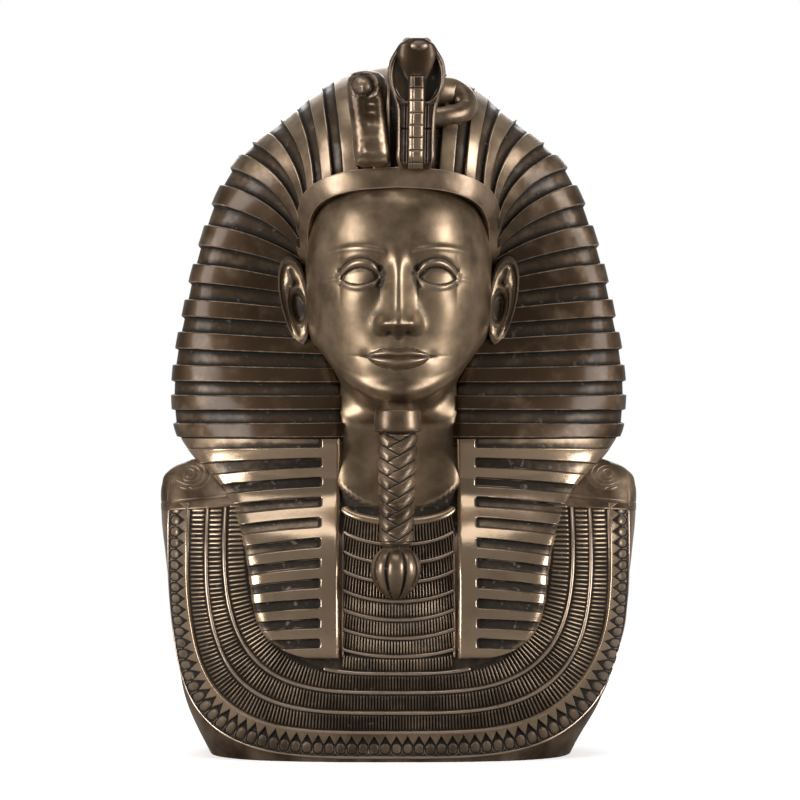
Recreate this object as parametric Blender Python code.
"""Bust of a pharaoh: one bronze-finished casting that stands on its own flat foot.

The figure wears the striped head-cloth with its two lappets, a brow band with a vulture's head
and a cobra, a plaited beard and a broad collar of beaded rows. It faces -Y, and its foot lies on z = 0.

The sculptor's grid divides the height into 298 parts. The pose, the outline and the carving are laid
out in those parts, so that they keep their proportions when HEIGHT changes. The reliefs are sizes of
their own, in metres.
"""

import math

import bmesh
import bpy
import numpy as np

HEIGHT = 0.298  # from the foot to the top of the cobra
GRID = 298.0  # parts that the height is divided into
PART = HEIGHT / GRID

CLOTH_RELIEF = 0.0016  # how deep a furrow of the head-cloth lies between two stripes
LAPPET_RELIEF = 0.0048  # how far a lappet stands out from the chest
BAR_DEPTH = 0.0019  # depth of the sunk bars across a lappet
RIDGE_RELIEF = 0.0012  # how far a ridge of the collar stands out
RIDGE_WIDTH = 0.0018  # width of a ridge of the collar
BAND_WIDTH = 0.0086  # width of the brow band
BAND_RELIEF = 0.0011  # how far the brow band stands out from the stripes of the crown
BAND_SUNK = 0.015  # how deep the brow band reaches, which fills the casting between head and cloth
SUNK = 0.006  # how deep a lappet reaches into the chest

STRIPES = 14  # raised stripes on each half of the head-cloth
BARS = 11  # sunk bars on each lappet
COLLAR_LINES = 13  # ridges of the collar, from the border in to the neck

BRONZE = (0.155, 0.112, 0.078)
SHARP_ANGLE = math.radians(28)  # edges sharper than this stay crisp


def through(keys, at):
    """Cubic curves through key rows of parts, where the first number of a row is the parameter.

    The slope at each key is that of the straight line between its neighbours. Gives metres.
    """
    rows = np.asarray(keys, float)
    rows = rows[np.argsort(rows[:, 0])]
    key, value = rows[:, 0], rows[:, 1:]
    slope = np.gradient(value, key, axis=0)
    at = np.clip(np.asarray(at, float), key[0], key[-1])
    i = np.clip(np.searchsorted(key, at, side="right") - 1, 0, len(key) - 2)
    width = (key[i + 1] - key[i])[..., None]
    t = (at - key[i])[..., None] / width
    curve = (
        (2 * t**3 - 3 * t**2 + 1) * value[i]
        + (t**3 - 2 * t**2 + t) * width * slope[i]
        + (3 * t**2 - 2 * t**3) * value[i + 1]
        + (t**3 - t**2) * width * slope[i + 1]
    )
    return curve * PART


def ease(low, high, x):
    """0 below low, 1 above high, and a smooth step between."""
    t = np.clip((x - low) / (high - low), 0, 1)
    return t * t * (3 - 2 * t)


def bump(x, centre, spread):
    """A bell of height 1 at centre."""
    return np.exp(-(((x - centre) / spread) ** 2))


# The torso: a stack of plan sections, each two half superellipses that meet at the widest point.
# Rows: height, half width, front, back, fullness of the front. The front is the most negative y.
TORSO = (
    (0.0, 76.5, -49.0, 40.0, 2.9),
    (9.5, 81.5, -52.0, 43.0, 2.9),
    (20.6, 87.2, -54.3, 45.0, 2.9),
    (36.5, 92.0, -56.3, 47.0, 2.9),
    (55.0, 95.8, -56.8, 48.0, 2.8),
    (73.0, 98.0, -54.8, 48.5, 2.7),
    (85.0, 99.4, -50.5, 48.0, 2.6),
    (97.0, 100.8, -42.5, 47.0, 2.5),
    (106.0, 101.3, -32.5, 45.5, 2.5),
    (113.0, 101.0, -24.5, 44.0, 2.6),
    (118.5, 98.8, -19.5, 42.0, 2.6),
    (123.0, 91.0, -16.5, 39.0, 2.6),
    (127.0, 74.0, -13.0, 34.0, 2.4),
    (130.0, 44.0, -9.0, 29.0, 2.2),
)
FOOT_LEAN = -3.5  # parts by which the foot is set to the figure's right
LEAN_HEIGHT = 60.0  # the height, in parts, up to which the foot leans
SIDE_DEPTH = -6.0  # depth of the widest point of each section, in parts
BACK_FULLNESS = 2.6


def torso_section(z):
    """Half width, front, back and front fullness of the torso at height z in metres."""
    found = through(TORSO, z / PART)
    return found[..., 0], found[..., 1], found[..., 2], found[..., 3] / PART


def foot_lean(z):
    """How far the torso leans sideways at height z: nothing above LEAN_HEIGHT, all of it at the foot."""
    return FOOT_LEAN * PART * (1 - ease(0.0, LEAN_HEIGHT * PART, z))


def chest(x, z):
    """Depth y of the front of the torso at x and z."""
    half, front, _, full = torso_section(z)
    side = SIDE_DEPTH * PART
    share = np.clip(np.abs((x - foot_lean(z)) / half), 0, 0.9999)
    return side + (front - side) * (1 - share**full) ** (1 / full)


def superellipse(angle, half, depth, full):
    """x and y of a superellipse of that half width and depth at an angle from its widest point."""
    c, s = np.cos(angle), np.sin(angle)
    x = half * np.sign(c) * np.abs(c) ** (2 / full)
    return x, depth * np.abs(s) ** (2 / full)


def torso_points(heights, around):
    """Grid of the torso: one plan section for each height, with `around` points across its front."""
    z = heights[:, None] * PART
    front_half = np.linspace(-math.pi, 0, around, endpoint=False)
    angle = np.concatenate([front_half, np.linspace(0, math.pi, around // 2, endpoint=False)])[None, :]
    half, front, back, full = torso_section(z)
    side = SIDE_DEPTH * PART
    in_front = np.sin(angle) < 0
    full = np.where(in_front, full, BACK_FULLNESS)
    depth = np.where(in_front, front - side, back - side)
    x, y = superellipse(angle, half, depth, full)
    return np.stack([x + foot_lean(z), y + side, np.broadcast_to(z, x.shape)], -1)


# The head: rings from the base of the neck to the top of the skull. A ring's sides are raised by its
# lift, so that the jaw climbs from the chin to the ears.
# Rows: height at the front, lift of the sides, half width, front, back, fullness of the front.
HEAD = (
    (88, 0, 27.0, -40.0, 20, 3.2),
    (98, 0, 26.6, -38.4, 21, 3.2),
    (105, 0, 26.0, -35.4, 22, 3.2),
    (112, 0, 25.6, -31.6, 23, 3.2),
    (121, 0, 25.3, -28.6, 24, 3.0),
    (134, 2, 25.2, -27.6, 26, 2.8),
    (140, 8, 25.4, -30.0, 28, 2.5),
    (143.5, 15, 26.0, -36.5, 31, 2.2),
    (145.6, 20, 30.0, -43.5, 33, 2.1),
    (147.4, 23, 33.4, -48.0, 34, 2.1),
    (151, 22, 35.4, -51.0, 35, 2.1),
    (157, 17, 36.8, -51.6, 37, 2.15),
    (165, 11, 38.2, -51.8, 39, 2.2),
    (176, 5, 39.6, -52.2, 41, 2.25),
    (188, 1, 40.2, -53.2, 42, 2.3),
    (200, 0, 40.4, -54.4, 43, 2.35),
    (212, 0, 40.0, -55.2, 43, 2.35),
    (222, 0, 38.8, -54.2, 43, 2.3),
    (232, 0, 37.0, -51.6, 42, 2.25),
    (242, 0, 34.0, -47.0, 39, 2.2),
    (252, 0, 29.0, -40.0, 34, 2.2),
    (260, 0, 20.0, -29.0, 26, 2.2),
    (266, 0, 8.0, -12.0, 12, 2.2),
)

# The face follows the drawing rule of thirds: hairline to brow, brow to base of the nose and base of
# the nose to chin are equal, and the face is five eyes wide.
CHIN_Z = 147.0
HAIRLINE_Z = 237.6
THIRD = (HAIRLINE_Z - CHIN_Z) / 3
BROW_Z = CHIN_Z + 2 * THIRD
NOSE_Z = CHIN_Z + THIRD
MOUTH_Z = NOSE_Z - THIRD / 3
EYE_Z = BROW_Z - 0.25 * THIRD
EYE_WIDTH = 16.0
EYE_X = EYE_WIDTH
EYE_OPEN = 3.9  # half of the opening of an eye at its middle
CHIN_LOW, CHIN_HIGH = 141.0, 148.0  # the features fade out between these heights, under the chin
SKULL_FULLNESS = 2.2


def face_relief(x, z):
    """How far the features stand out from the plain egg of the face, in metres, at x and z in metres."""
    x, z = np.abs(x) / PART, z / PART
    # The nose widens and rises in a straight line from the brow to its tip, and turns under at the base.
    down = np.clip((BROW_Z - z) / (BROW_Z - NOSE_Z - 3.4), 0, 1)
    under = ease(NOSE_Z - 1.6, NOSE_Z + 3.6, z)
    bridge = np.exp(-((x / (3.1 + 1.3 * down)) ** 2.4))
    nose = (2.2 + 8.8 * down) * bridge * under * ease(BROW_Z + 9, BROW_Z - 4, z)
    wing = 5.4 * bump(x, 5.9, 2.5) * bump(z, NOSE_Z + 3.4, 3.4)
    # The socket sinks the eyeball below the brow, and the lids run round an almond.
    socket = -3.6 * bump(x, EYE_X * 0.97, 9.5) * bump(z, EYE_Z + 1.0, 6.4) - 1.6 * bump(x, 7.0, 3.4) * bump(z, EYE_Z, 6)
    across = (x - EYE_X) / (EYE_WIDTH / 2)
    tall = np.where(z > EYE_Z, EYE_OPEN, EYE_OPEN * 0.8)
    almond = np.sqrt(across**2 + ((z - EYE_Z) / tall) ** 2 * (1 + 0.7 * across**2))
    ball = 2.5 * (1 - np.clip(almond / 1.25, 0, 1) ** 2)
    lid = 1.0 * np.exp(-(((almond - 1.12) / 0.17) ** 2))
    line = 0.9 * np.exp(-(((z - EYE_Z + 0.4) / 1.0) ** 2)) * ease(23.5, 25.5, x) * ease(35.5, 32.5, x)
    arch = BROW_Z + 4.6 - 0.0105 * (x - 17.5) ** 2 - 0.00022 * np.abs(x - 17.5) ** 3
    brow = 1.0 * bump(z, arch, 1.5) * ease(4.2, 6.5, x) * ease(35.5, 31.5, x)
    brow_bone = 1.1 * bump(z, BROW_Z + 1.5, 4.5) * bump(x, 18, 14)
    # The mouth: two lips that narrow to the corners, a line between, and the hollows round them.
    corner = np.clip(1 - (x / 12.6) ** 2, 0, 1)
    upper = 2.9 * corner**0.6 * bump(z, MOUTH_Z + 2.1, 1.9) * (1 - 0.22 * bump(x, 0, 1.8))
    lower = 3.4 * corner**0.7 * bump(z, MOUTH_Z - 2.5, 2.3)
    parting = -1.3 * bump(x, 0, 12.0) * bump(z, MOUTH_Z - 0.1, 0.75)
    muzzle = 1.7 * bump(x, 0, 14) * bump(z, MOUTH_Z + 1, 9.5)
    groove = -0.8 * bump(x, 0, 1.8) * bump(z, NOSE_Z - 3.0, 3.0)
    pit = -1.1 * bump(x, 13.6, 2.2) * bump(z, MOUTH_Z, 2.2)
    hollow = -1.3 * bump(x, 0, 9) * bump(z, MOUTH_Z - 7.6, 2.4)
    chin = 2.8 * bump(x, 0, 10) * bump(z, CHIN_Z + 6.0, 5.4)
    cheek = 1.7 * bump(x, 23, 10) * bump(z, NOSE_Z + 10, 11)
    eyes = socket + ball + lid + line + brow + brow_bone
    mouth = upper + lower + parting + muzzle + groove + pit + hollow
    return (nose + wing + eyes + mouth + chin + cheek) * PART


def head_points(heights, angles):
    """Grid of the head and neck, with the features of the face."""
    ring = through(HEAD, heights)[:, None]
    lift, half, front, back = (ring[..., i] for i in range(4))
    full = ring[..., 4] / PART
    angles = angles[None, :]
    in_front = np.sin(angles) < 0
    depth = np.where(in_front, front, back)
    x, y = superellipse(angles, half, depth, np.where(in_front, full, SKULL_FULLNESS))
    z = heights[:, None] * PART + lift * np.cos(angles) ** 2
    facing = np.where(in_front, np.clip(-np.sin(angles), 0, 1) ** 0.8, 0)
    faded = ease(CHIN_LOW * PART, CHIN_HIGH * PART, z)
    y = y - face_relief(x, z) * facing * faded
    return np.stack([x, y, z], -1)


# An ear: its place, its half sizes, and its rings as shares of the size and reach towards the front.
EAR_X, EAR_Y, EAR_Z = 44.0, -13.0, 191.5
EAR_HALF_HEIGHT, EAR_HALF_WIDTH = 19.0, 7.4
EAR_TURN, EAR_SLANT, EAR_LEAN = 0.85, 0.35, 0.14
EAR_LOBE = 0.18  # share by which the top of an ear is wider than its middle
EAR_SIDES = 11
EAR_RINGS = ((0.8, -8.0), (1.0, 0.8), (0.86, 2.6), (0.68, 1.6), (0.5, -0.9))


def ear_points(side):
    """Grid of one ear: ellipses that run from its back over the rim and down into the bowl."""
    around = np.linspace(0, 2 * math.pi, EAR_SIDES, endpoint=False)
    loops = []
    for scale, out in EAR_RINGS:
        along = EAR_HALF_HEIGHT * scale * np.sin(around)
        across = EAR_HALF_WIDTH * scale * np.cos(around) * (1 + EAR_LOBE * np.sin(around))
        x = EAR_X + across * EAR_TURN + along * EAR_LEAN
        y = EAR_Y - out + across * EAR_SLANT
        loops.append(np.stack([side * x * PART, y * PART, (EAR_Z + along) * PART], -1))
    return np.array(loops)


# The head-cloth. Each stripe starts at the brow band or at the inner edge of the wing, turns over the
# outline that shows from the front, and ends at the middle of the back. Rows: stripe number from the
# middle of the crown, then x, y and z. The stripe's raised part is at the half numbers.
CLOTH_INNER = (
    (0.0, 0.0, -46.0, 244.5),
    (1.5, 20.0, -43.0, 243.0),
    (2.5, 30.0, -38.5, 240.3),
    (3.5, 37.0, -32.0, 236.0),
    (4.5, 40.8, -26.0, 230.3),
    (5.5, 42.6, -20.0, 223.5),
    (6.5, 42.8, -15.0, 216.0),
    (7.5, 41.5, -11.0, 207.0),
    (8.5, 39.5, -9.5, 196.5),
    (9.5, 36.5, -11.0, 184.5),
    (10.5, 32.5, -15.0, 172.0),
    (11.5, 28.5, -21.0, 160.0),
    (12.5, 25.5, -27.5, 148.5),
    (13.5, 25.0, -32.5, 137.0),
    (14.0, 25.0, -34.5, 131.0),
)
CLOTH_OUTER = (
    (0.0, 0.0, 10.0, 296.0),
    (1.5, 25.0, 9.0, 289.6),
    (2.5, 36.4, 8.0, 282.4),
    (3.5, 47.8, 7.0, 272.5),
    (4.5, 60.2, 6.0, 262.6),
    (5.5, 70.4, 5.0, 252.6),
    (6.5, 78.8, 5.0, 238.0),
    (7.5, 85.2, 5.0, 220.2),
    (8.5, 89.7, 5.0, 204.1),
    (9.5, 92.9, 5.0, 189.0),
    (10.5, 95.7, 5.0, 175.3),
    (11.5, 97.6, 4.0, 161.1),
    (12.5, 97.8, 3.0, 148.5),
    (13.5, 96.3, 2.0, 136.4),
    (14.0, 94.0, 1.0, 131.0),
)
CLOTH_BACK = (
    (0.0, 0.0, 57.0, 236.0),
    (3.0, 0.0, 61.0, 219.0),
    (7.0, 0.0, 62.0, 188.0),
    (11.0, 0.0, 57.0, 151.0),
    (14.0, 0.0, 50.0, 118.0),
)
# How each stripe leaves the brow: degrees by which it turns up from the straight line to the outline.
CLOTH_CURL = ((0, 0), (2.5, 4), (4.5, 26), (5.5, 30), (6.5, 24), (8, 6), (10, 0), (14, 0))


def cubic(p0, p1, p2, p3, t):
    """Points of one Bezier curve for each row of its four corners."""
    t = t[None, :, None]
    a, b, c, d = (p[:, None, :] for p in (p0, p1, p2, p3))
    return (1 - t) ** 3 * a + 3 * (1 - t) ** 2 * t * b + 3 * (1 - t) * t**2 * c + t**3 * d


def cloth_half(stripe, front, back):
    """Grid of the right half of the head-cloth without its relief, from the inner edge to the back."""
    inner = through(CLOTH_INNER, stripe)
    outer = through(CLOTH_OUTER, stripe)
    end = through(CLOTH_BACK, stripe)
    crown = 1 - ease(3.0, 7.0, stripe)
    away = outer - inner
    curl = np.radians(through(CLOTH_CURL, stripe)[:, 0] / PART)
    reach = 0.48 - 0.06 * crown
    lift = np.stack(
        [
            reach * (away[:, 0] * np.cos(curl) - away[:, 2] * np.sin(curl)),
            -(1.5 + 4.0 * crown) * PART,
            reach * (away[:, 2] * np.cos(curl) + away[:, 0] * np.sin(curl)) + 6 * PART * crown,
        ],
        -1,
    )
    flat = np.zeros_like(stripe)
    roll = np.stack([flat, -(17 + 12 * crown) * PART, flat], -1)
    shown = cubic(inner, inner + lift, outer + roll, outer, front)
    over = np.stack([flat, 0.5 * (end[:, 1] - outer[:, 1]), flat], -1)
    slant = np.radians(90) * ease(0, 6, stripe)
    draw = np.stack(
        [0.58 * outer[:, 0] * np.sin(slant) + 0.2 * outer[:, 0], flat, 42 * PART * np.cos(slant)], -1
    )
    hidden = cubic(outer, outer + over, end + draw, end, back)
    return np.concatenate([shown, hidden[:, 1:]], 1)


def normals_of(grid):
    """Unit normals of a grid, from the differences between its neighbours. They face into the cloth."""
    down = np.gradient(grid, axis=0)
    along = np.gradient(grid, axis=1)
    normal = np.cross(along, down)
    length = np.linalg.norm(normal, axis=-1, keepdims=True)
    return normal / np.maximum(length, 1e-12)


def stripe_shape(stripe):
    """1 on a raised stripe and 0 in the furrow between two, with short slopes."""
    share = stripe - np.floor(stripe)
    return ease(0.20, 0.27, share) * (1 - ease(0.73, 0.80, share))


def cloth_loops(stripe, front, back):
    """Closed loops of the whole head-cloth, one for each row: round the back and through the head."""
    half = cloth_half(stripe, front, back)
    inward = normals_of(half)
    inward[:, -1, 0] = 0
    inward[0, :, 0] = 0
    furrow = (1 - stripe_shape(stripe))[:, None, None] * CLOTH_RELIEF
    half = half + inward * furrow
    half[0, :, 0] = 0
    half[:, -1, 0] = 0
    inner = half[:, 0]
    setback = (9 + 12 * ease(0, 3, stripe) + 22 * ease(9, 12, stripe)) * PART
    within = np.stack([np.zeros_like(stripe), inner[:, 1] + setback, inner[:, 2]], -1)[:, None]
    other = half * np.array([-1.0, 1.0, 1.0])
    return np.concatenate([half[:, ::-1], within, other[:, :-1]], 1)


# A lappet. Rows: height, and x of its outer edge, in parts.
LAPPET_OUTER = (
    (43.6, 36.0),
    (45.0, 43.0),
    (47.5, 49.0),
    (53.0, 55.3),
    (63.0, 59.6),
    (73.0, 61.2),
    (88.5, 63.9),
    (98.5, 66.9),
    (107.5, 71.3),
    (116.5, 77.6),
    (125.0, 87.0),
    (133.0, 93.5),
)
LAPPET_INNER = 24.4
LAPPET_TOP, LAPPET_BOTTOM = 133.0, 43.6
FIRST_BAR, BAR_PITCH, BAR_HEIGHT = 131.4, 8.14, 3.9
BAR_START = 31.6  # x where the bars begin, past the plain border
BAR_SLOPE = 0.25  # half of the height in which a bar's edge sinks
BAR_DROOP, MIDDLE_DROOP = 0.065, 0.06  # slope of the bars towards the outer edge, and its growth halfway
DROOP_MIDDLE, DROOP_SPREAD = 84.0, 20.0  # the height where the bars fall most, and how far that reaches
LAPPET_FOOT_ROWS = (45.6, 44.4)  # rows that round the foot of a lappet
JOIN_LOW, JOIN_HIGH = 94.0, 132.0  # between these heights the lappet rises from the chest to the wing
FILL_DEPTH = 9.0  # depth y, in parts, to which the casting is filled behind the top of a lappet


def wing_foot(x):
    """Depth y of the lowest row of the wing at x, which the lappet hangs from."""
    row = cloth_half(np.array([STRIPES - 0.3, STRIPES]), np.linspace(0, 1, 40), np.array([0.0, 1.0]))[1]
    row = row[:40]
    return np.interp(x, row[:, 0], row[:, 1])


def lappet_front(x, z):
    """Depth y of the face of a lappet at x and z, without its bars."""
    low = chest(x, z) - LAPPET_RELIEF
    share = ease(JOIN_LOW * PART, JOIN_HIGH * PART, z)
    return low * (1 - share) + (wing_foot(x) - 0.4 * PART) * share


def bar_shape(z):
    """1 in a sunk bar of the lappet and 0 on the raised stripe between two, at height z in metres."""
    number = np.round((FIRST_BAR - z / PART) / BAR_PITCH)
    number = np.clip(number, 0, BARS - 1)
    off = np.abs(z / PART - (FIRST_BAR - number * BAR_PITCH))
    return 1 - ease(BAR_HEIGHT / 2 - BAR_SLOPE, BAR_HEIGHT / 2 + BAR_SLOPE, off)


def bar_fall(x, level):
    """How far the row that starts at height level has fallen at x. The rows droop in a bow outwards,
    but not at the wing and not at the foot."""
    away = np.maximum(x / PART - BAR_START, 0)
    free = ease(LAPPET_BOTTOM, LAPPET_BOTTOM + 6, level) * (1 - ease(119, LAPPET_TOP, level))
    slope = BAR_DROOP + MIDDLE_DROOP * bump(level, DROOP_MIDDLE, DROOP_SPREAD)
    return slope * away * (0.55 + 0.014 * away) * free * PART


def lappet_points(heights, across):
    """Front grid of the right lappet: rows go down, and columns go from the inner edge out."""
    level = heights[:, None]
    outer = through(LAPPET_OUTER, heights)[:, :1]
    for _ in range(4):
        outer = through(LAPPET_OUTER, (level - bar_fall(outer, level) / PART)[:, 0])[:, :1]
    inner = LAPPET_INNER * PART
    start = BAR_START * PART
    # The columns keep the plain border's width, and share out the rest.
    border = np.clip(across, 0, 1)[None, :]
    rest = np.clip(across - 1, 0, 1)[None, :]
    x = inner + np.minimum(start - inner, outer - inner) * border + np.maximum(outer - start, 0) * rest
    z = level * PART - bar_fall(x, level)
    y = lappet_front(x, z) + BAR_DEPTH * bar_shape(level * PART) * (across >= 1.08)[None, :]
    return np.stack([x, y, z], -1)


# The collar's lines run like a U from one shoulder to the other. Rows: line number, half width at the
# shoulders, height of the lowest point, squareness of the U.
COLLAR = (
    (0, 97.0, 2.1, 3.8),
    (1, 88.0, 12.7, 3.8),
    (2, 80.0, 20.9, 3.6),
    (3, 72.5, 29.4, 3.4),
    (4, 66.0, 37.2, 3.2),
    (5, 60.0, 44.3, 2.3),
    (6, 54.0, 51.7, 2.2),
    (8, 44.0, 66.8, 2.2),
    (10, 35.0, 82.0, 2.2),
    (11, 30.5, 89.5, 2.2),
    (12, 25.6, 97.4, 2.0),
)
COLLAR_END = 105.5  # height of the ends of the lines at the shoulders, in parts
FIRST_INNER_LINE = 5  # the lines from this one on only show between the lappets
COLLAR_GAP = 27.0  # half width of what is built of them there, in parts
NECKLINE_SHARE = 0.98  # the most of a line's half width that is built there


def collar_line(number, count, reach=None):
    """Points of one line of the collar on the chest, and the outward normals of the chest there.

    With a reach, only the part of the line within that distance of the middle.
    """
    half, lowest, square = through(COLLAR, number)
    square = square / PART
    start = 0 if reach is None else math.acos(min(reach / half, NECKLINE_SHARE) ** (square / 2))
    angle = np.linspace(start, math.pi - start, 400)
    x, drop = superellipse(angle, half, COLLAR_END * PART - lowest, square)
    length = np.concatenate([[0], np.cumsum(np.hypot(np.diff(x), np.diff(drop)))])
    angle = np.interp(np.linspace(0, length[-1], count), length, angle)
    x, drop = superellipse(angle, half, COLLAR_END * PART - lowest, square)
    x = x + foot_lean(COLLAR_END * PART - drop) * drop / (COLLAR_END * PART)
    z = COLLAR_END * PART - drop
    small = 0.2 * PART
    y = chest(x, z)
    slope_x = (chest(x + small, z) - chest(x - small, z)) / (2 * small)
    slope_z = (chest(x, z + small) - chest(x, z - small)) / (2 * small)
    normal = np.stack([slope_x, -np.ones_like(x), slope_z], -1)
    normal /= np.linalg.norm(normal, axis=-1, keepdims=True)
    return np.stack([x, y, z], -1), normal


def sweep_loops(path, normal, outline):
    """An outline carried along a path: its first number goes across the path, its second along normal."""
    along = np.gradient(path, axis=0)
    along /= np.linalg.norm(along, axis=-1, keepdims=True)
    across = np.cross(along, normal)
    across /= np.linalg.norm(across, axis=-1, keepdims=True)
    a, b = outline[..., :1], outline[..., 1:]
    return path[:, None] + across[:, None] * a + normal[:, None] * b


def mesh_object(name, loops, seam_first=False, under=None):
    """A closed object from closed loops of points, one loop a row, with a face over each end.

    With seam_first the points of the first loop meet in pairs, so that it needs no face. With under
    the last loop is closed by a fan round that point.
    """
    rows, columns = loops.shape[:2]
    mesh = bmesh.new()
    grid = [[mesh.verts.new(p) for p in row] for row in loops.tolist()]
    for i in range(rows - 1):
        for j in range(columns):
            k = (j + 1) % columns
            mesh.faces.new((grid[i][j], grid[i][k], grid[i + 1][k], grid[i + 1][j]))
    if not seam_first:
        mesh.faces.new(grid[0])
    if under is None:
        mesh.faces.new(grid[-1])
    else:
        middle = mesh.verts.new(under)
        for j in range(columns):
            mesh.faces.new((grid[-1][j], grid[-1][(j + 1) % columns], middle))
    bmesh.ops.remove_doubles(mesh, verts=mesh.verts, dist=PART * 0.002)
    bmesh.ops.dissolve_degenerate(mesh, edges=mesh.edges, dist=PART * 0.002)
    bmesh.ops.triangulate(mesh, faces=mesh.faces)  # flat faces, so that a union cuts each where it lies
    bmesh.ops.recalc_face_normals(mesh, faces=mesh.faces)
    data = bpy.data.meshes.new(name)
    mesh.to_mesh(data)
    mesh.free()
    made = bpy.data.objects.new(name, data)
    bpy.context.scene.collection.objects.link(made)
    return made


def make_torso():
    heights = np.array([0, 9.5, 24, 42, 60, 76, 90, 102, 111, 117, 122, 130.0])
    return mesh_object("torso", torso_points(heights, 18))


def make_head():
    lower = [92, 120, 134, 141, 145, 147.4, 150.5, 155, 159.5]
    features = [162.5, 164.8, 166.8, 168.6, 171.4, 175.4, 177.6, 180.5, 185, 190, 194.2, 196.5]
    upper = [199.8, 202.6, 204.4, 207.5, 210.6, 213.6, 219, 230, 246, 266]
    heights = np.array(lower + features + upper)
    front = -90 + np.array([-90, -70, -54, -41, -32.5, -26, -19.7, -14.5, -10, -5, 0])
    back = [60, 120]
    right = (-180 - front)[:-1][::-1]
    angles = np.radians(np.concatenate([front, right, back]))
    return mesh_object("head", head_points(heights, angles))


def make_cloth():
    rows = [0.0]
    for number in range(STRIPES):
        rows += [number + 0.20, number + 0.27, number + 0.73, number + 0.80]
    stripe = np.array(rows + [STRIPES])
    front = np.array([0, 0.3, 0.6, 0.86, 1.0])
    back = np.array([0, 0.34, 0.72, 1.0])
    loops = cloth_loops(stripe, front, back)
    under = np.array([0.0, 16 * PART, loops[-1, :, 2].min() - 0.5 * PART])
    return mesh_object("head-cloth", loops, True, under)


def lappet_rows():
    """Heights of the rows of a lappet: the two edges of each bar, and a few for the round foot."""
    rows = [LAPPET_TOP, LAPPET_BOTTOM, *LAPPET_FOOT_ROWS]
    for number in range(BARS):
        middle = FIRST_BAR - number * BAR_PITCH
        for side in (1, -1):
            edge = middle + side * BAR_HEIGHT / 2
            rows += [edge + BAR_SLOPE, edge - BAR_SLOPE]
    return np.array(sorted((z for z in rows if z <= LAPPET_TOP), reverse=True))


def make_lappet(name, side):
    heights = lappet_rows()
    across = np.array([0, 1.0, 1.08, 1.5, 2.0])
    front = lappet_points(heights, across)
    back = front[:, [0, -1]]
    filled = ease(JOIN_LOW, JOIN_HIGH, heights)[:, None]
    back[..., 1] = (back[..., 1] + LAPPET_RELIEF + SUNK) * (1 - filled) + FILL_DEPTH * PART * filled
    loops = np.concatenate([front, back[:, ::-1]], 1) * np.array([side, 1.0, 1.0])
    return mesh_object(name, loops)


def make_collar_ridge(number):
    reach = COLLAR_GAP * PART if number >= FIRST_INNER_LINE else None
    path, normal = collar_line(number, 5 if reach else 19 - 2 * number, reach)
    out, half = RIDGE_RELIEF, RIDGE_WIDTH / 2
    outline = np.array([(-half, -3 * half), (-half * 0.5, out), (half * 0.5, out), (half, -3 * half)])
    return mesh_object(f"collar ridge {number}", sweep_loops(path, normal, outline[None]))


def make_brow_band():
    stripe = np.array([-7.4, -6.2, -5, -4, -3, -2, -1, 0, 1, 2, 3, 4, 5, 6.2, 7.4])
    path = through(CLOTH_INNER, np.abs(stripe)) * np.stack([np.sign(stripe), stripe**0, stripe**0], -1)
    aside = ease(2, 6, np.abs(stripe))
    normal = np.stack([0.75 * np.sign(stripe) * aside, -np.ones_like(stripe), 0.12 * np.ones_like(stripe)], -1)
    normal /= np.linalg.norm(normal, axis=-1, keepdims=True)
    path[:, 0] -= np.sign(stripe) * 2.4 * PART * aside
    path[:, 1] -= (0.2 - 1.4 * aside) * PART
    path[:, 2] -= 0.36 * BAND_WIDTH * (1 - 0.5 * aside)
    shrink = (1 - 0.2 * ease(3.5, 7.4, np.abs(stripe)))[:, None, None]
    half, out = BAND_WIDTH / 2, BAND_RELIEF
    outline = np.array([(-half, -BAND_SUNK), (-half * 0.85, out), (half * 0.85, out), (half, -BAND_SUNK)])
    return mesh_object("brow band", sweep_loops(path, normal, outline[None] * shrink))


# The beard hangs from the chin to the collar. Rows: height, half width, front, back.
BEARD = (
    (151.3, 7.2, -49.0, -35.4),
    (145.8, 9.3, -56.0, -36.6),
    (145.0, 9.9, -57.4, -36.5),
    (136.9, 9.9, -58.0, -36.5),
    (136.3, 9.5, -57.4, -37.0),
    (135.9, 7.5, -55.0, -42.0),
    (90.6, 6.2, -66.0, -52.0),
    (89.4, 5.4, -65.6, -52.0),
    (88.4, 5.9, -66.6, -51.0),
    (86.6, 7.8, -69.4, -49.0),
    (83.6, 9.5, -71.8, -47.0),
    (79.5, 10.0, -72.4, -46.0),
    (75.0, 8.6, -71.0, -46.0),
    (71.0, 6.0, -68.6, -46.0),
    (68.4, 3.0, -65.0, -47.0),
)
PLAIT_TOP, PLAIT_BOTTOM, PLAIT_STRANDS = 133.6, 93.4, 7
PLAIT_RELIEF = 0.0008
PLAIT_DROP = 3.4  # how far a strand falls from the side of the plait to its middle, in parts
TUFT_TOP, TUFT_RELIEF = 89.0, 0.0009
BEARD_SIDES = 8


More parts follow.
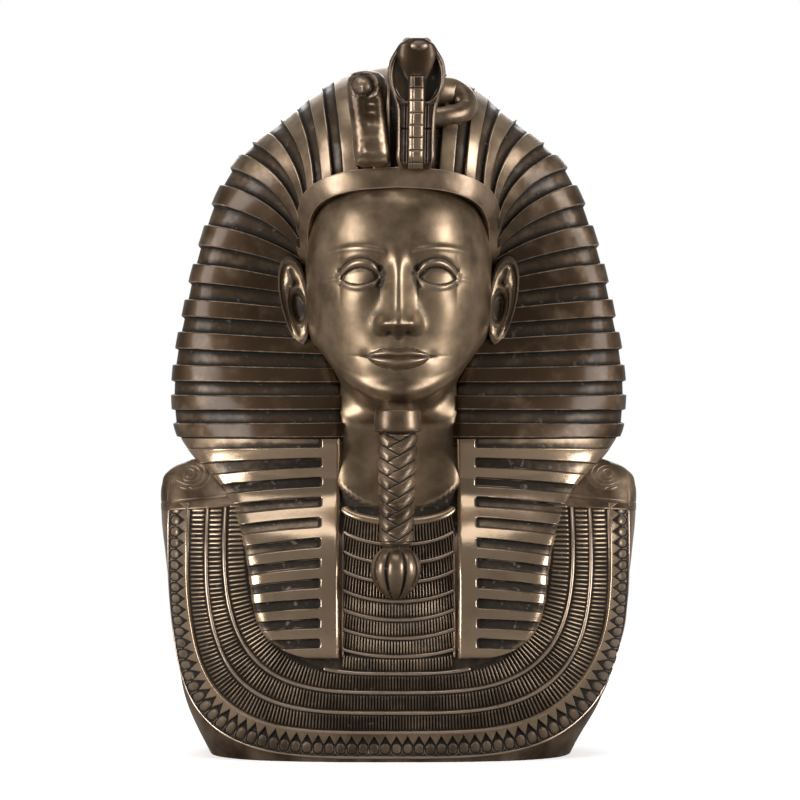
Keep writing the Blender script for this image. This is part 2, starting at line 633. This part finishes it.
def make_beard():
    strand = (PLAIT_TOP - PLAIT_BOTTOM) / PLAIT_STRANDS
    plait = [PLAIT_TOP - strand * (i + share) for i in range(PLAIT_STRANDS) for share in (0.1, 0.75)]
    heights = np.array([row[0] for row in BEARD[:6]] + plait + [row[0] for row in BEARD[6:]])
    raised = np.array([0.0] * 6 + [1.0, -0.6] * PLAIT_STRANDS + [0.0] * (len(BEARD) - 6))
    straight = np.array(BEARD)
    ring = np.stack([np.interp(-heights, -straight[:, 0], straight[:, i]) for i in (1, 2, 3)], -1)
    half, front, back = (ring[:, i, None] * PART for i in range(3))
    angle = (np.arange(BEARD_SIDES) * 2 * math.pi / BEARD_SIDES)[None, :]
    grow = PLAIT_RELIEF * raised[:, None] * (np.sin(angle) < 0.1)
    lock = np.where(np.arange(BEARD_SIDES) % 2, -1.0, 0.0)[None, :] * TUFT_RELIEF
    grow = grow + lock * (heights < TUFT_TOP)[:, None] * np.clip(half / (8 * PART), 0, 1)
    middle, depth = (front + back) / 2, (back - front) / 2
    x = (half + grow) * np.cos(angle)
    y = middle + (depth + grow) * np.sin(angle)
    plaited = ((heights < PLAIT_TOP) & (heights > PLAIT_BOTTOM))[:, None]
    fall = PLAIT_DROP * PART * (np.abs(np.cos(angle)) - 0.5) * plaited
    z = heights[:, None] * PART + fall
    return mesh_object("beard", np.stack([x, y, z], -1))


# The cobra rears over the brow. Rows: height, middle, front, half width, depth of the panels, thickness.
COBRA = (
    (244.6, 7.0, -49.0, 6.2, 0.0, 5.0),
    (247.2, 7.0, -51.8, 7.5, 0.4, 5.0),
    (254.0, 7.1, -53.0, 7.8, 1.0, 5.0),
    (262.0, 7.2, -54.0, 7.9, 1.0, 4.6),
    (269.0, 7.4, -54.6, 8.2, 1.0, 4.2),
    (274.0, 7.4, -55.0, 9.4, 1.2, 4.0),
    (279.5, 7.4, -55.4, 11.4, 1.4, 3.6),
    (284.0, 7.4, -55.8, 11.9, 1.4, 3.4),
    (288.5, 7.4, -56.2, 11.0, 1.2, 3.4),
    (292.5, 7.4, -56.6, 8.8, 0.6, 3.6),
    (295.6, 7.4, -56.8, 6.6, 0.2, 3.6),
    (297.4, 7.4, -56.4, 4.6, 0.0, 2.6),
)
# One section of the hood. Rows: share of the half width, of the thickness, and of the panels' depth.
SECTION_OF_HOOD = (
    (-1.0, -1.0, 0.0),
    (-1.0, -0.15, 0.0),
    (-0.88, 0.3, 0.0),
    (-0.70, 0.1, -1.0),
    (-0.40, 0.1, -1.0),
    (-0.32, 0.3, 0.5),
    (0.32, 0.3, 0.5),
    (0.40, 0.1, -1.0),
    (0.70, 0.1, -1.0),
    (0.88, 0.3, 0.0),
    (1.0, -0.15, 0.0),
    (1.0, -1.0, 0.0),
    (0.45, -1.5, 0.0),
    (-0.45, -1.5, 0.0),
)


def make_cobra_hood():
    heights = np.array([244.6, 247.2, 256, 266, 272, 277, 281, 285, 289, 292.5, 295.5, 297.4])
    ring = through(COBRA, heights)
    middle, front, half, panel, thick = (ring[:, i, None] for i in range(5))
    share = np.array(SECTION_OF_HOOD)
    x = middle + half * share[None, :, 0]
    y = front - thick * share[None, :, 1] - panel * share[None, :, 2]
    z = np.broadcast_to(heights[:, None] * PART, x.shape)
    return mesh_object("cobra's hood", np.stack([x, y, z], -1))


def tube(name, rows, sides):
    """A closed tube through rows of x, y, z and radius in parts."""
    rows = np.array(rows, float) * PART
    path, radius = rows[:, :3], rows[:, 3]
    along = np.gradient(path, axis=0)
    along /= np.linalg.norm(along, axis=-1, keepdims=True)
    side = np.cross(along, np.array([0.0, -1.0, 0.0]))
    weak = np.linalg.norm(side, axis=-1, keepdims=True) < 0.3
    side = np.where(weak, np.array([1.0, 0.0, 0.0]), side)
    side /= np.linalg.norm(side, axis=-1, keepdims=True)
    up = np.cross(side, along)
    angle = np.arange(sides) * 2 * math.pi / sides
    spread = side[:, None] * np.cos(angle)[None, :, None] + up[:, None] * np.sin(angle)[None, :, None]
    return mesh_object(name, path[:, None] + spread * radius[:, None, None])


def egg(name, middle, halves, nod, rings, sides):
    """A closed egg at a middle, of three half sizes, turned down about x by nod degrees."""
    down = np.linspace(0, math.pi, rings)[1:-1, None]
    round_it = (np.arange(sides) * 2 * math.pi / sides)[None, :]
    x = halves[0] * np.sin(down) * np.cos(round_it)
    y = -halves[1] * np.cos(down) * np.ones_like(x)
    z = halves[2] * np.sin(down) * np.sin(round_it)
    turn = math.radians(nod)
    y, z = y * math.cos(turn) - z * math.sin(turn), y * math.sin(turn) + z * math.cos(turn)
    points = np.stack([x + middle[0], y + middle[1], z + middle[2]], -1)
    return mesh_object(name, points * PART)


def cloth_depth(x, z):
    """Depth y, in parts, of the front of the head-cloth at x and z in parts."""
    grid = cloth_half(np.linspace(0, STRIPES, 141), np.linspace(0, 1, 60), np.array([0.0, 1.0]))[:, :60]
    far = (grid[..., 0] - abs(x) * PART) ** 2 + (grid[..., 2] - z * PART) ** 2
    return grid.reshape(-1, 3)[np.argmin(far), 1] / PART


# The cobra's body lies on the crown in a loop. Rows: x and z of its middle, and its radius.
COBRA_LOOP = (
    (9.0, 261.0, 3.6),
    (15.0, 263.0, 4.0),
    (21.5, 265.6, 4.2),
    (27.5, 269.6, 4.2),
    (30.2, 275.6, 4.1),
    (27.6, 281.0, 4.0),
    (22.0, 284.0, 3.9),
    (15.5, 284.6, 3.7),
    (9.5, 282.0, 3.4),
)


COBRA_LIFT = 1.6  # how far the middle of the loop stands before the crown
# Behind the hood the body runs up to the loop. Rows: x, y and z of its middle, and its radius.
COBRA_BACK = ((7.4, -47.0, 250.0, 4.4), (7.4, -45.0, 261.0, 5.6), (7.4, -41.5, 272.0, 5.0), (7.4, -32.0, 281.0, 4.6))


def make_cobra_body():
    rows = [(x, cloth_depth(x, z) - COBRA_LIFT, z, r) for x, z, r in COBRA_LOOP]
    loop = tube("cobra's body", rows, 6)
    prop = tube("cobra's back", COBRA_BACK, 6)
    snout = egg("cobra's head", (7.4, -58.6, 293.0), (4.2, 6.4, 3.8), 32, 6, 8)
    return [loop, prop, snout]


# The vulture's neck stands beside the cobra. Rows: x, y and z of its middle, and its radius.
VULTURE_NECK = (
    (-10.8, -46.6, 246.2, 5.4),
    (-10.9, -47.2, 249.6, 7.0),
    (-11.4, -47.6, 256.0, 7.3),
    (-12.0, -47.7, 263.0, 7.3),
    (-12.7, -47.2, 270.0, 7.6),
    (-13.1, -46.4, 276.5, 8.1),
    (-13.2, -45.0, 281.6, 7.2),
    (-13.2, -43.2, 284.9, 3.8),
)


def make_vulture():
    neck = tube("vulture's neck", VULTURE_NECK, 10)
    head = egg("vulture's head", (-15.0, -53.6, 279.4), (3.8, 5.4, 4.0), 12, 6, 8)
    beak = tube("vulture's beak", [(-15.2, -57.2, 279.0, 2.3), (-15.3, -59.4, 276.4, 1.5), (-15.3, -59.9, 273.2, 0.5)], 6)
    return [neck, head, beak]


def make_ears():
    return [mesh_object(name, ear_points(side)) for name, side in (("right ear", 1), ("left ear", -1))]


# The cloth is gathered at the nape and bound into a queue. Rows: height, depth of its face, half width.
QUEUE = (
    (160.0, 61.0, 13.0),
    (146.0, 63.2, 15.4),
    (132.0, 61.5, 15.2),
    (118.0, 57.4, 14.6),
    (104.0, 54.8, 14.0),
    (88.0, 54.6, 13.2),
    (72.0, 54.4, 12.4),
    (60.0, 53.4, 11.6),
)
QUEUE_TOP, QUEUE_BOTTOM, QUEUE_TURNS = 156.0, 60.0, 7
QUEUE_RELIEF = 0.0011


def make_queue():
    turn = (QUEUE_TOP - QUEUE_BOTTOM) / QUEUE_TURNS
    heights = [QUEUE_TOP - turn * (i + share) for i in range(QUEUE_TURNS) for share in (0.04, 0.16, 0.88)]
    raised = np.array([0, 1, 1] * QUEUE_TURNS)[:, None] * QUEUE_RELIEF
    ring = through(QUEUE, np.array(heights))
    face, half = ring[:, :1], ring[:, 1:2]
    share = np.array([(-1.0, -14.0), (-1.0, -3.0), (-0.8, 0.0), (0.8, 0.0), (1.0, -3.0), (1.0, -14.0)])
    x = (half + raised) * share[None, :, 0]
    y = face + raised * (share[None, :, 1] > -5) + share[None, :, 1] * PART
    z = np.broadcast_to(np.array(heights)[:, None] * PART, x.shape)
    return mesh_object("queue", np.stack([x, y, z], -1))


# The ends of the collar's rows on each shoulder. Rows: x and height.
SHOULDER_LINE = ((97.0, 105.2), (90.0, 106.0), (82.0, 107.2), (72.0, 108.6), (62.0, 109.6))


def make_shoulder_line(name, side):
    at = np.array(SHOULDER_LINE) * PART
    x, z = side * at[:, 0], at[:, 1]
    path = np.stack([x, chest(x, z), z], -1)
    normal = np.tile(np.array([0.0, -0.8, 0.6]), (len(path), 1))
    half = RIDGE_WIDTH / 2
    outline = np.array([(-half, -3 * half), (-half * 0.5, RIDGE_RELIEF), (half * 0.5, RIDGE_RELIEF), (half, -3 * half)])
    return mesh_object(name, sweep_loops(path, normal, outline[None]))


def bronze():
    """The finish of the whole casting."""
    finish = bpy.data.materials.new("bronze")
    finish.use_nodes = True
    shader = finish.node_tree.nodes["Principled BSDF"]
    shader.inputs["Base Color"].default_value = (*BRONZE, 1)
    shader.inputs["Metallic"].default_value = 0.85
    shader.inputs["Roughness"].default_value = 0.38
    return finish


def join(target, others):
    """Joins the other objects into target with one Boolean union, and removes them."""
    carved = bpy.data.collections.new("carved forms")
    bpy.context.scene.collection.children.link(carved)
    for other in others:
        bpy.context.scene.collection.objects.unlink(other)
        carved.objects.link(other)
    union = target.modifiers.new("carved forms", "BOOLEAN")
    union.operation = "UNION"
    union.solver = "EXACT"
    union.operand_type = "COLLECTION"
    union.collection = carved
    graph = bpy.context.evaluated_depsgraph_get()
    joined = bpy.data.meshes.new_from_object(target.evaluated_get(graph))
    target.modifiers.clear()
    target.data = joined
    for other in others:
        bpy.data.objects.remove(other)
    bpy.data.collections.remove(carved)


def set_on_origin(data):
    """Moves the mesh so that its foot is at z = 0 and the middle of its plan is at the origin."""
    points = np.empty(len(data.vertices) * 3)
    data.vertices.foreach_get("co", points)
    points = points.reshape(-1, 3)
    low, high = points.min(0), points.max(0)
    shift = np.array([(low[0] + high[0]) / 2, (low[1] + high[1]) / 2, low[2]])
    data.vertices.foreach_set("co", (points - shift).ravel())
    data.update()
    print("moved by", [round(-float(v), 5) for v in shift], "size", [round(float(v), 5) for v in high - low])


def main():
    for old in list(bpy.data.objects):
        bpy.data.objects.remove(old)
    bust = make_torso()
    carved = [make_head(), make_cloth(), make_lappet("right lappet", 1), make_lappet("left lappet", -1)]
    carved += [make_brow_band(), make_beard(), make_queue(), make_cobra_hood()]
    carved += make_cobra_body() + make_vulture() + make_ears()
    carved += [make_shoulder_line("right shoulder line", 1), make_shoulder_line("left shoulder line", -1)]
    carved += [make_collar_ridge(number) for number in range(COLLAR_LINES)]
    join(bust, carved)
    bust.name = "bust"
    bust.data.name = "bust"
    bust.data.materials.clear()
    bust.data.materials.append(bronze())
    set_on_origin(bust.data)
    bust.data.shade_smooth()
    bust.data.set_sharp_from_angle(angle=SHARP_ANGLE)
    print("bust:", len(bust.data.polygons), "faces")


main()
